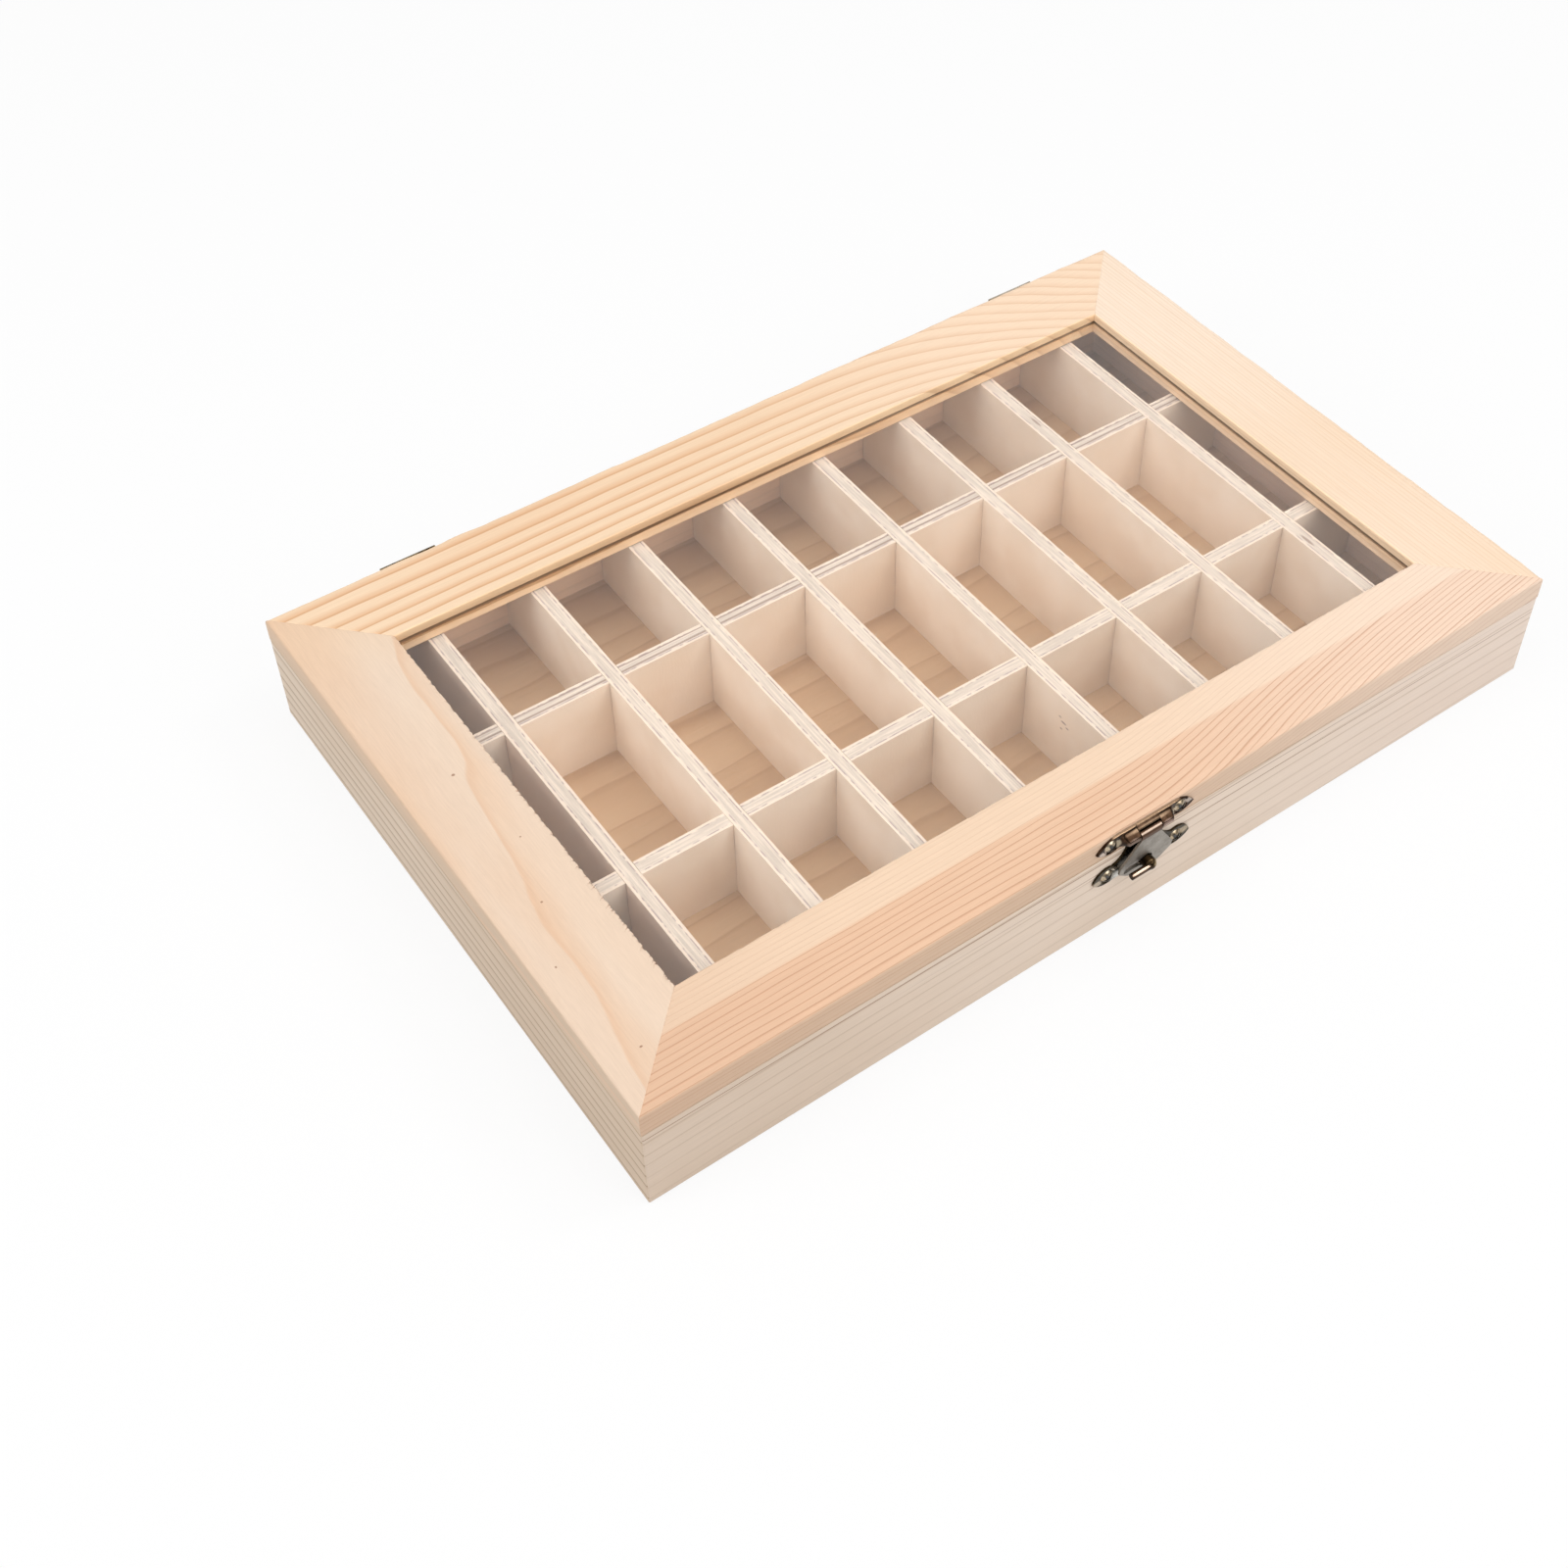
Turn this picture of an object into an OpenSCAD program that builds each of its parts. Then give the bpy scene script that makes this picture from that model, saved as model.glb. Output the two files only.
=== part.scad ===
// Specimen box: a shallow pine box with a framed clear lid, a grid of plywood
// dividers, two small hinges at the back and a bronze hasp at the front.
// Millimetres. The origin is the centre of the underside, +X runs along the front
// towards the right, +Y towards the back and +Z up.

/* [Box] */
// Length along the front
box_length = 280; // [200:1:400]
// Depth from front to back
box_depth = 180; // [140:1:260]
// Height of the box below the seam
box_height = 27.75; // [24:0.25:60]
// Thickness of the four walls
wall_thickness = 7; // [6:0.25:10]
// Thickness of the floor panel
floor_thickness = 1.8; // [1.5:0.1:3]
// How far the floor panel reaches under the walls
rebate_depth = 3; // [2:0.25:4]
// Radius of the hand-eased outer edges
edge_radius = 0.6; // [0.3:0.1:1.2]

/* [Lid] */
// Thickness of the lid rails
lid_height = 7.25; // [6.5:0.25:12]
// Width of the lid rails
rail_width = 24.2; // [18:0.2:32]
// Thickness of the clear pane
pane_thickness = 1.8; // [1.2:0.1:2.2]
// Height of the pane's groove above the seam
groove_lift = 2.9; // [2:0.1:3.2]
// Depth of the groove into the rails
groove_depth = 4; // [3:0.25:6]
// Room above the pane in its groove
pane_clearance = 0.2; // [0.1:0.05:0.5]
// Room between the pane's edge and the bottom of its groove
pane_edge_gap = 0.4; // [0.2:0.1:0.8]

/* [Dividers] */
// Cells side by side along the front
cell_columns = 9; // [4:1:12]
// Cells from front to back
cell_rows = 3; // [2:1:5]
// Thickness of the plywood
ply_thickness = 4.4; // [3:0.1:5]
// How far the divider tops stay below the seam
divider_drop = 0.45; // [0.2:0.05:3]
// Room at each end of a divider
divider_end_gap = 0.2; // [0.1:0.05:0.5]
// Room on each side of a crossing slot
slot_clearance = 0.1; // [0.05:0.05:0.3]

/* [Hinges] */
// Distance of the left hinge's middle from the left end
left_hinge_inset = 40.5; // [30:0.5:80]
// Distance of the right hinge's middle from the right end
right_hinge_inset = 37; // [30:0.5:80]
// Length of a hinge along its pin
hinge_length = 16; // [14:0.5:24]
// Height of a leaf from the pin's axis
leaf_height = 6.4; // [6:0.1:8]
// Thickness of the hinge leaves
leaf_thickness = 0.8; // [0.6:0.05:1]
// Radius of the hinge pins
hinge_pin_radius = 0.6; // [0.5:0.05:0.8]
// Running clearance between a pin and its knuckles
pin_clearance = 0.05; // [0.03:0.01:0.08]
// Gap between neighbouring knuckles
knuckle_gap = 0.25; // [0.15:0.05:0.4]
// Distance between the two screws of a leaf
leaf_screw_spacing = 9; // [8:0.25:10]
// Distance of the leaf screws from the pin's axis
leaf_screw_drop = 4.2; // [4:0.1:4.4]

/* [Hasp] */
// Sideways offset of the hasp from the box's middle
hasp_offset = 0.5; // [-20:0.1:20]
// Thickness of the hasp's sheet metal
sheet_thickness = 0.6; // [0.5:0.05:0.8]
// Half the width of the pointed plates
plate_reach = 15.3; // [14.5:0.1:18]
// Distance between the screws of one plate
plate_screw_spacing = 21.6; // [21:0.1:23]
// Height of the flap's pin above the seam
flap_axis_lift = 3.85; // [3.6:0.05:4]
// Radius of the flap's pin
flap_pin_radius = 0.5; // [0.4:0.05:0.55]
// Width of the flap's middle knuckle
flap_knuckle_width = 6.4; // [5:0.1:8]
// Width of each outer knuckle
outer_knuckle_width = 3.4; // [2.5:0.1:3.8]
// Lean of the hanging flap in towards the box
flap_lean = 5; // [3:0.5:6]
// Half the width of the flap across its shoulders
flap_reach = 8.3; // [8:0.1:9]
// Height of the lower plate's screws above the underside
lower_plate_height = 20.3; // [19.5:0.1:21]
// Height of the hook's post above the underside
hook_height = 20.6; // [19.8:0.1:21.2]
// Radius of the hook's domed post
post_radius = 1.75; // [1.4:0.05:1.8]
// Height of the dome on the post
post_dome_height = 1.45; // [1.2:0.05:1.7]
// How far the hook's arm stands out from the front
arm_stand_out = 4.2; // [4:0.1:4.6]
// Length of the hook's arm from the post's axis
arm_length = 6.4; // [5:0.1:6.5]
// Radius of the hook's arm
arm_radius = 0.9; // [0.7:0.05:0.95]

/* [Screws] */
// Radius of a screw's shank
shank_radius = 0.85; // [0.7:0.05:1]
// Length of the shank in the wood
shank_length = 4.5; // [3.5:0.25:5]
// Radius of a pan head
pan_head_radius = 1.85; // [1.6:0.05:2]
// Height of a pan head
pan_head_height = 1; // [0.8:0.1:1.2]
// Radius of a countersunk head
flat_head_radius = 1.5; // [1.3:0.05:1.6]
// Clearance of a shank in its hole
shank_clearance = 0.05; // [0.03:0.01:0.1]

/* [Hidden] */
SHORT_DIVIDERS = [for (i = [1 : cell_columns - 1]) str("short_divider_", i)];
LONG_DIVIDERS = [for (i = [1 : cell_rows - 1]) str("long_divider_", i)];
$fn = 48;

// Small overshoot that keeps cuts clean
cut = 0.1;
inner_length = box_length - 2 * wall_thickness;
inner_depth = box_depth - 2 * wall_thickness;
front_y = -box_depth / 2;
back_y = box_depth / 2;

// Room around the floor panel in its rebate
panel_gap = 0.15;

// Cells share the inside evenly
cell_width = (inner_length - (cell_columns - 1) * ply_thickness) / cell_columns;
cell_depth = (inner_depth - (cell_rows - 1) * ply_thickness) / cell_rows;
divider_height = box_height - divider_drop - floor_thickness;
slot_width = ply_thickness + 2 * slot_clearance;

pine = "#EBCDA8";
pale_pine = "#F2DCC0";
plywood = "#E3CDB4";
clear_sheet = [0.86, 0.9, 0.92, 0.35];
bronze = "#6B5640";
grey_metal = "#9A958C";
brass = "#C2AC6C";

// Hinge: knuckles 1, 3 and 5 belong to the box leaf, 2 and 4 to the lid leaf
knuckle_count = 5;
knuckle_pitch = hinge_length / knuckle_count;
hinge_knuckle_radius = hinge_pin_radius + pin_clearance + leaf_thickness;
hinge_axis_y = back_y + hinge_knuckle_radius + pin_clearance;
left_hinge_x = left_hinge_inset - box_length / 2;
right_hinge_x = box_length / 2 - right_hinge_inset;
countersink_depth = 0.6;
head_dome = 0.25;

// Screws
pilot_room = 0.5;
pilot_depth = shank_length + pilot_room;
screw_point = 1.2;
recess_turn = 35;
pan_recess_depth = 0.6;
flat_recess_depth = 0.55;

// Hasp: the flap and its middle knuckle turn just in front of the upper plate
hasp_knuckle_radius = flap_pin_radius + pin_clearance + sheet_thickness;
flap_axis_y = front_y - sheet_thickness - hasp_knuckle_radius - pin_clearance;
flap_axis_z = box_height + flap_axis_lift;
hook_drop = flap_axis_z - hook_height;
outer_knuckle_x = flap_knuckle_width / 2 + knuckle_gap + outer_knuckle_width / 2;
hasp_pin_length = flap_knuckle_width + 2 * knuckle_gap + 2 * outer_knuckle_width;

// Plates: each wing is a leaf round a screw. Heights are above the plate's screws
wing_radius = 2.6;
wing_tip_drop = 0.6;
upper_wing_peak = 2.9;
upper_wing_peak_inset = 6.6;
lower_wing_peak = 3.2;
lower_wing_peak_inset = 4.3;
plate_seam_gap = 0.25;
lower_plate_top = box_height - lower_plate_height - plate_seam_gap;
lower_plate_foot = 2.3;
flank_radius = 5.95;
flank_inset = 4.1;
flank_lift = 8.6;

// Shallow dish round each screw of a plate
dish_radius = 2.4;
dish_depth = 0.3;

// Flap: places of its corners above or below the hook's post
shoulder_rise = 1.5;
hip_fall = 0.4;
hip_taper = 0.1;
toe_fall = 3;
toe_taper = 3.2;
tip_fall = 2.5;
flap_tip_radius = 2.5;
tip_half_width = 1;
neck_drop = 1.3;

// The flap's slot lets the post and the arm through while the flap swings
post_room = 0.35;
arm_room_above = 0.1;
arm_room_below = 0.4;
slot_corner_radius = 0.6;

// Hook: a post on a rivet that turns in the lower plate
hook_end_play = 0.1;
arm_under_dome = 0.45;
rivet_radius = 1;
rivet_head_radius = 1.7;
rivet_head_thickness = 0.5;
rivet_pocket_radius = 2.1;
rivet_pocket_depth = 1;

hinge_screw_spots = [for (x = [left_hinge_x, right_hinge_x], side = [-1, 1])
  x + side * leaf_screw_spacing / 2];
plate_screw_spots = [for (side = [-1, 1]) hasp_offset + side * plate_screw_spacing / 2];

// Rectangle with its corners rounded by true arcs
module rounded_plan(length, depth, radius) {
  for (sx = [-1, 1], sy = [-1, 1])
    translate([sx * (length / 2 - radius), sy * (depth / 2 - radius)])
      circle(radius);
  square([length - 2 * radius, depth], center = true);
  square([length, depth - 2 * radius], center = true);
}

// Section of a board: its outer face lies on the Y axis, and its two outer corners
// are eased by the radii given
module board_section(thickness, height, low_radius, high_radius) {
  translate([low_radius, low_radius])
    circle(low_radius);
  translate([high_radius, height - high_radius])
    circle(high_radius);
  translate([0, low_radius])
    square([thickness, height - low_radius - high_radius]);
  translate([low_radius, 0])
    square([thickness - low_radius, height / 2]);
  translate([high_radius, height / 2])
    square([thickness - high_radius, height / 2]);
}

// Board on the front side of a frame, cut at 45 degrees at both ends. The section
// is the child, with its outer face at x = 0 and its underside at y = 0
module mitred_board(along, across, thickness, height) {
  intersection() {
    translate([0, -across / 2, 0])
      rotate([90, 0, 90])
        linear_extrude(along, center = true)
          children();
    translate([0, 0, -cut])
      linear_extrude(height + 2 * cut)
        intersection() {
          rounded_plan(along, across, edge_radius);
          polygon([
            [-along / 2, -across / 2],
            [along / 2, -across / 2],
            [along / 2 - thickness, -across / 2 + thickness],
            [-along / 2 + thickness, -across / 2 + thickness]
          ]);
        }
  }
}

// Walls of the box

module wall_section() {
  difference() {
    board_section(wall_thickness, box_height, edge_radius, edge_radius / 2);
    translate([wall_thickness - rebate_depth, -cut])
      square([rebate_depth + cut, floor_thickness + cut]);
  }
}

module long_wall() {
  mitred_board(box_length, box_depth, wall_thickness, box_height)
    wall_section();
}

module short_wall() {
  mitred_board(box_depth, box_length, wall_thickness, box_height)
    wall_section();
}

// Pilot holes that run into the front face, at the places given
module front_pilots(places, z) {
  for (x = places)
    translate([x, front_y - cut, z])
      rotate([-90, 0, 0])
        cylinder(h = pilot_depth + cut, r = shank_radius + shank_clearance);
}

module back_pilots(places, z) {
  for (x = places)
    translate([x, back_y + cut, z])
      rotate([90, 0, 0])
        cylinder(h = pilot_depth + cut, r = shank_radius + shank_clearance);
}

module front_wall() {
  color(pale_pine)
    difference() {
      long_wall();
      front_pilots(plate_screw_spots, lower_plate_height);
      translate([hasp_offset, front_y - cut, hook_height])
        rotate([-90, 0, 0])
          cylinder(h = rivet_pocket_depth + cut, r = rivet_pocket_radius);
    }
}

module back_wall() {
  color(pale_pine)
    difference() {
      rotate([0, 0, 180])
        long_wall();
      back_pilots(hinge_screw_spots, box_height - leaf_screw_drop);
    }
}

module left_wall() {
  color(pale_pine)
    rotate([0, 0, -90])
      short_wall();
}

module right_wall() {
  color(pale_pine)
    rotate([0, 0, 90])
      short_wall();
}

module bottom_panel() {
  reach = rebate_depth - panel_gap;
  color(pine)
    linear_extrude(floor_thickness)
      square([inner_length + 2 * reach, inner_depth + 2 * reach], center = true);
}

// Plywood grid

function short_divider_x(i) =
  -inner_length / 2 + i * cell_width + (i - 0.5) * ply_thickness;

function long_divider_y(i) =
  -inner_depth / 2 + i * cell_depth + (i - 0.5) * ply_thickness;

// Front-to-back strip number i, slotted from below where the long strips cross it
module short_divider(i) {
  color(plywood)
    translate([short_divider_x(i), 0, floor_thickness])
      difference() {
        translate([-ply_thickness / 2, -inner_depth / 2 + divider_end_gap, 0])
          cube([ply_thickness, inner_depth - 2 * divider_end_gap, divider_height]);
        for (row = [1 : cell_rows - 1])
          translate([-ply_thickness, long_divider_y(row) - slot_width / 2, -cut])
            cube([2 * ply_thickness, slot_width, divider_height / 2 + cut]);
      }
}

// Left-to-right strip number i, slotted from above
module long_divider(i) {
  color(plywood)
    translate([0, long_divider_y(i), floor_thickness])
      difference() {
        translate([-inner_length / 2 + divider_end_gap, -ply_thickness / 2, 0])
          cube([inner_length - 2 * divider_end_gap, ply_thickness, divider_height]);
        for (column = [1 : cell_columns - 1])
          translate([
            short_divider_x(column) - slot_width / 2, -ply_thickness, divider_height / 2
          ])
            cube([slot_width, 2 * ply_thickness, divider_height / 2 + cut]);
      }
}

// Lid

module rail_section() {
  difference() {
    board_section(rail_width, lid_height, edge_radius / 2, edge_radius);
    translate([rail_width - groove_depth, groove_lift])
      square([groove_depth + cut, pane_thickness + pane_clearance]);
  }
}

module long_rail() {
  translate([0, 0, box_height])
    mitred_board(box_length, box_depth, rail_width, lid_height)
      rail_section();
}

module short_rail() {
  translate([0, 0, box_height])
    mitred_board(box_depth, box_length, rail_width, lid_height)
      rail_section();
}

module lid_front_rail() {
  color(pine)
    difference() {
      long_rail();
      front_pilots(plate_screw_spots, flap_axis_z);
    }
}

module lid_back_rail() {
  color(pine)
    difference() {
      rotate([0, 0, 180])
        long_rail();
      back_pilots(hinge_screw_spots, box_height + leaf_screw_drop);
    }
}

module lid_left_rail() {
  color(pine)
    rotate([0, 0, -90])
      short_rail();
}

module lid_right_rail() {
  color(pale_pine)
    rotate([0, 0, 90])
      short_rail();
}

module window_pane() {
  inset = rail_width - groove_depth + pane_edge_gap;
  color(clear_sheet)
    translate([0, 0, box_height + groove_lift])
      linear_extrude(pane_thickness)
        square([box_length - 2 * inset, box_depth - 2 * inset], center = true);
}

// Screws, drawn with the head's underside at z = 0 and the shank along -Z

// Cap of a ball with the given rim radius and height
module dome(radius, height) {
  ball = (radius * radius + height * height) / (2 * height);
  rotate_extrude()
    intersection() {
      translate([0, height - ball])
        circle(ball);
      square([radius, height]);
    }
}

// Crossed slots of a driver, turned as the screws were left
module cross_recess(head_radius, depth) {
  size = 1.3 * head_radius;
  for (turn = [0, 90])
    rotate([0, 0, turn + recess_turn])
      translate([-size / 2, -size / 8, -depth])
        cube([size, size / 4, 2 * depth]);
}

module shank(length) {
  translate([0, 0, -length + screw_point])
    cylinder(h = length - screw_point, r = shank_radius);
  translate([0, 0, -length])
    cylinder(h = screw_point, r1 = shank_radius / 4, r2 = shank_radius);
}

module pan_screw() {
  difference() {
    dome(pan_head_radius, pan_head_height);
    translate([0, 0, pan_head_height])
      cross_recess(pan_head_radius, pan_recess_depth);
  }
  shank(shank_length + sheet_thickness - dish_depth);
}

module flat_screw() {
  difference() {
    union() {
      dome(flat_head_radius, head_dome);
      translate([0, 0, -countersink_depth])
        cylinder(h = countersink_depth, r1 = shank_radius, r2 = flat_head_radius);
    }
    translate([0, 0, head_dome])
      cross_recess(flat_head_radius, flat_recess_depth);
  }
  translate([0, 0, -countersink_depth])
    shank(shank_length + leaf_thickness - countersink_depth);
}

module front_screws(z) {
  color(brass)
    for (x = plate_screw_spots)
      translate([x, front_y - sheet_thickness + dish_depth, z])
        rotate([90, 0, 0])
          pan_screw();
}

module back_screws(z) {
  color(brass)
    for (x = hinge_screw_spots)
      translate([x, back_y + leaf_thickness, z])
        rotate([-90, 0, 0])
          flat_screw();
}

// Hinges, drawn about the pin's axis with the wood's face towards -Y and the leaf
// rising along +Z

module knuckle_row(first) {
  for (i = [first : 2 : knuckle_count - 1])
    translate([(i + 0.5) * knuckle_pitch - hinge_length / 2, 0, 0])
      children();
}

// Room cut into a leaf for the other leaf's knuckles
module knuckle_relief(first) {
  room = hinge_knuckle_radius + knuckle_gap;
  knuckle_row(first)
    translate([-knuckle_pitch / 2 - knuckle_gap / 2, -room - cut, -room])
      cube([knuckle_pitch + knuckle_gap, 2 * room + cut, 2 * room]);
}

module leaf(first_knuckle) {
  wood_y = back_y - hinge_axis_y;
  difference() {
    union() {
      translate([-hinge_length / 2, wood_y, 0])
        cube([hinge_length, leaf_thickness, leaf_height]);
      knuckle_row(first_knuckle)
        rotate([0, 90, 0])
          cylinder(h = knuckle_pitch - knuckle_gap, r = hinge_knuckle_radius, center = true);
    }
    knuckle_relief(1 - first_knuckle);
    rotate([0, 90, 0])
      cylinder(h = 2 * hinge_length, r = hinge_pin_radius + pin_clearance, center = true);
    for (side = [-1, 1])
      translate([
        side * leaf_screw_spacing / 2, wood_y + leaf_thickness, leaf_screw_drop
      ])
        rotate([-90, 0, 0]) {
          translate([0, 0, -leaf_thickness - cut])
            cylinder(h = leaf_thickness + 2 * cut, r = shank_radius + shank_clearance);
          translate([0, 0, -countersink_depth])
            cylinder(
              h = countersink_depth,
              r1 = shank_radius + shank_clearance,
              r2 = flat_head_radius + shank_clearance
            );
        }
  }
}

module box_leaf(x) {
  color(bronze)
    translate([x, hinge_axis_y, box_height])
      mirror([0, 0, 1])
        leaf(0);
}

module lid_leaf(x) {
  color(bronze)
    translate([x, hinge_axis_y, box_height])
      leaf(1);
}

module hinge_pin(x) {
  color(bronze)
    translate([x, hinge_axis_y, box_height])
      rotate([0, 90, 0])
        cylinder(h = hinge_length, r = hinge_pin_radius, center = true);
}

// Hasp. The flat outlines lie in the XZ plane: x is the distance from the hasp's
// middle and y the height above the plate's screws

// Radius of a circle that passes through a point and has its top, or its lowest
// point, at the run and the rise given from there
function arc_radius(run, rise) = (run * run + rise * rise) / (2 * rise);

// Leaf round a screw on the right side: an upper and a lower arc meet in its tip
module plate_wing(peak_inset, peak) {
  screw_x = plate_screw_spacing / 2;
  top_radius = arc_radius(peak_inset, peak + wing_tip_drop);
  low_radius = arc_radius(plate_reach - screw_x, wing_radius - wing_tip_drop);
  intersection() {
    translate([plate_reach - peak_inset, peak - top_radius])
      circle(top_radius);
    translate([screw_x, low_radius - wing_radius])
      circle(low_radius);
    translate([screw_x - wing_radius, -wing_radius])
      square([plate_reach, peak + wing_radius]);
  }
}

module plate_wings(peak_inset, peak) {
  plate_wing(peak_inset, peak);
  mirror([1, 0])
    plate_wing(peak_inset, peak);
}

// Stands a flat outline up against the front face, with its screws at height z, and
// cuts a dish and a hole for each screw
module front_plate(z) {
  translate([hasp_offset, front_y, z])
    rotate([90, 0, 0])
      difference() {
        linear_extrude(sheet_thickness)
          children();
        for (side = [-1, 1])
          translate([side * plate_screw_spacing / 2, 0, -cut]) {
            cylinder(h = sheet_thickness + 2 * cut, r = shank_radius + shank_clearance);
            translate([0, 0, cut + sheet_thickness - dish_depth])
              cylinder(h = 2 * dish_depth, r1 = pan_head_radius + shank_clearance,
                r2 = 2 * dish_radius - pan_head_radius - shank_clearance);
          }
      }
}

module along_hasp_pin(length, radius) {
  rotate([0, 90, 0])
    cylinder(h = length, r = radius, center = true);
}

module latch_lower_plate() {
  screw_x = plate_screw_spacing / 2;
  color(bronze)
    front_plate(lower_plate_height)
      difference() {
        union() {
          plate_wings(lower_wing_peak_inset, lower_wing_peak);
          difference() {
            translate([-screw_x, -lower_plate_foot])
              square([2 * screw_x, lower_plate_foot + lower_plate_top]);
            for (side = [-1, 1])
              translate([side * (plate_reach - flank_inset), flank_lift])
                circle(flank_radius);
          }
        }
        translate([0, hook_height - lower_plate_height])
          circle(rivet_radius + pin_clearance);
      }
}

module latch_upper_plate() {
  bar_half = plate_reach - upper_wing_peak_inset;
  color(bronze) {
    front_plate(flap_axis_z) {
      plate_wings(upper_wing_peak_inset, upper_wing_peak);
      translate([-bar_half, -hasp_knuckle_radius])
        square([2 * bar_half, hasp_knuckle_radius + upper_wing_peak]);
    }
    for (side = [-1, 1])
      translate([hasp_offset + side * outer_knuckle_x, flap_axis_y, flap_axis_z])
        difference() {
          union() {
            along_hasp_pin(outer_knuckle_width, hasp_knuckle_radius);
            translate([-outer_knuckle_width / 2, 0, -hasp_knuckle_radius])
              cube([
                outer_knuckle_width, hasp_knuckle_radius + pin_clearance, sheet_thickness
              ]);
          }
          along_hasp_pin(hasp_pin_length, flap_pin_radius + pin_clearance);
        }
  }
}

module flap_pin() {
  color(bronze)
    translate([hasp_offset, flap_axis_y, flap_axis_z])
      along_hasp_pin(hasp_pin_length, flap_pin_radius);
}

// Outline of the flap, hanging down from its pin at the origin: a shield with a
// round tip
module flap_outline() {
  neck = flap_knuckle_width / 2;
  hip = flap_reach - hip_taper;
  toe = flap_reach - toe_taper;
  tip_drop = hook_drop + tip_fall;
  tip_low = sqrt(pow(flap_tip_radius, 2) - pow(tip_half_width, 2));
  right_side = [
    [neck, 0], [neck, -neck_drop],
    [flap_reach, shoulder_rise - hook_drop], [hip, -hip_fall - hook_drop],
    [toe, -toe_fall - hook_drop], [tip_half_width, -tip_low - tip_drop]
  ];
  left_side = [for (i = [len(right_side) - 1 : -1 : 0])
    [-right_side[i][0], right_side[i][1]]];
  polygon(concat(right_side, left_side));
  translate([0, -tip_drop])
    circle(flap_tip_radius);
}

// Keyhole that clears the domed post and, to its left, the hook's arm
module flap_slot() {
  reach = arm_length + post_room;
  high = arm_radius + arm_room_above;
  low = arm_radius + arm_room_below;
  translate([0, -hook_drop]) {
    circle(post_radius + post_room);
    for (y = [high - slot_corner_radius, slot_corner_radius - low])
      translate([slot_corner_radius - reach, y])
        circle(slot_corner_radius);
    translate([slot_corner_radius - reach, -low])
      square([reach - slot_corner_radius, high + low]);
    translate([-reach, slot_corner_radius - low])
      square([reach, high + low - 2 * slot_corner_radius]);
  }
}

module latch_flap() {
  color(grey_metal)
    translate([hasp_offset, flap_axis_y, flap_axis_z])
      rotate([flap_lean, 0, 0])
        difference() {
          union() {
            along_hasp_pin(flap_knuckle_width, hasp_knuckle_radius);
            translate([0, sheet_thickness - hasp_knuckle_radius, 0])
              rotate([90, 0, 0])
                linear_extrude(sheet_thickness)
                  difference() {
                    flap_outline();
                    flap_slot();
                  }
          }
          along_hasp_pin(hasp_pin_length, flap_pin_radius + pin_clearance);
        }
}

// Domed post with a side arm, riveted through the lower plate so that it can turn
module latch_hook() {
  post_start = sheet_thickness + hook_end_play;
  dome_start = arm_stand_out - arm_under_dome;
  color(bronze)
    translate([hasp_offset, front_y, hook_height]) {
      rotate([90, 0, 0]) {
        translate([0, 0, post_start])
          cylinder(h = dome_start - post_start, r = post_radius);
        translate([0, 0, dome_start])
          dome(post_radius, post_dome_height);
        translate([0, 0, -rivet_head_thickness])
          cylinder(h = rivet_head_thickness + post_start, r = rivet_radius);
        translate([0, 0, -hook_end_play - rivet_head_thickness])
          cylinder(h = rivet_head_thickness, r = rivet_head_radius);
      }
      translate([-arm_length, -arm_stand_out, 0])
        rotate([0, 90, 0])
          cylinder(h = arm_length, r = arm_radius);
    }
}

front_wall();
back_wall();
left_wall();
right_wall();
bottom_panel();
for (i = [1 : cell_columns - 1])
  short_divider(i);
for (i = [1 : cell_rows - 1])
  long_divider(i);
box_leaf(left_hinge_x);  // left_hinge_box_leaf
box_leaf(right_hinge_x);  // right_hinge_box_leaf
hinge_pin(left_hinge_x);  // left_hinge_pin
hinge_pin(right_hinge_x);  // right_hinge_pin
back_screws(box_height - leaf_screw_drop);  // hinge_box_screws
latch_lower_plate();
front_screws(lower_plate_height);  // lower_plate_screws
lid_front_rail();
lid_back_rail();
lid_left_rail();
lid_right_rail();
window_pane();
lid_leaf(left_hinge_x);  // left_hinge_lid_leaf
lid_leaf(right_hinge_x);  // right_hinge_lid_leaf
back_screws(box_height + leaf_screw_drop);  // hinge_lid_screws
latch_upper_plate();
front_screws(flap_axis_z);  // upper_plate_screws
flap_pin();
latch_flap();
latch_hook();
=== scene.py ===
import math

import bpy
import numpy as np
from mathutils import Matrix


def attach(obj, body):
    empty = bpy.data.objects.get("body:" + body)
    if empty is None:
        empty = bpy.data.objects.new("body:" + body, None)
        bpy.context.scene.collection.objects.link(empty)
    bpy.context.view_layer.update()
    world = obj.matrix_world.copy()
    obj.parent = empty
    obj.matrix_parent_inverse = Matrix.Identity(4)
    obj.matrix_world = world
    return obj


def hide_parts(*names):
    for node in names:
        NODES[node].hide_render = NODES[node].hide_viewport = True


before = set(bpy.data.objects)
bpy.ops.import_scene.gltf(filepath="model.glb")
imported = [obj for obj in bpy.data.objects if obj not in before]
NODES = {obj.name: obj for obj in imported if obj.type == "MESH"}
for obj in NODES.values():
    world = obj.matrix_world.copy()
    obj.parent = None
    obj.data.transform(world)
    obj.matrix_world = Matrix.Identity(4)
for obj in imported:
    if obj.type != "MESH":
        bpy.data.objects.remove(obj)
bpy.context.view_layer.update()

MM = 0.001

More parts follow.
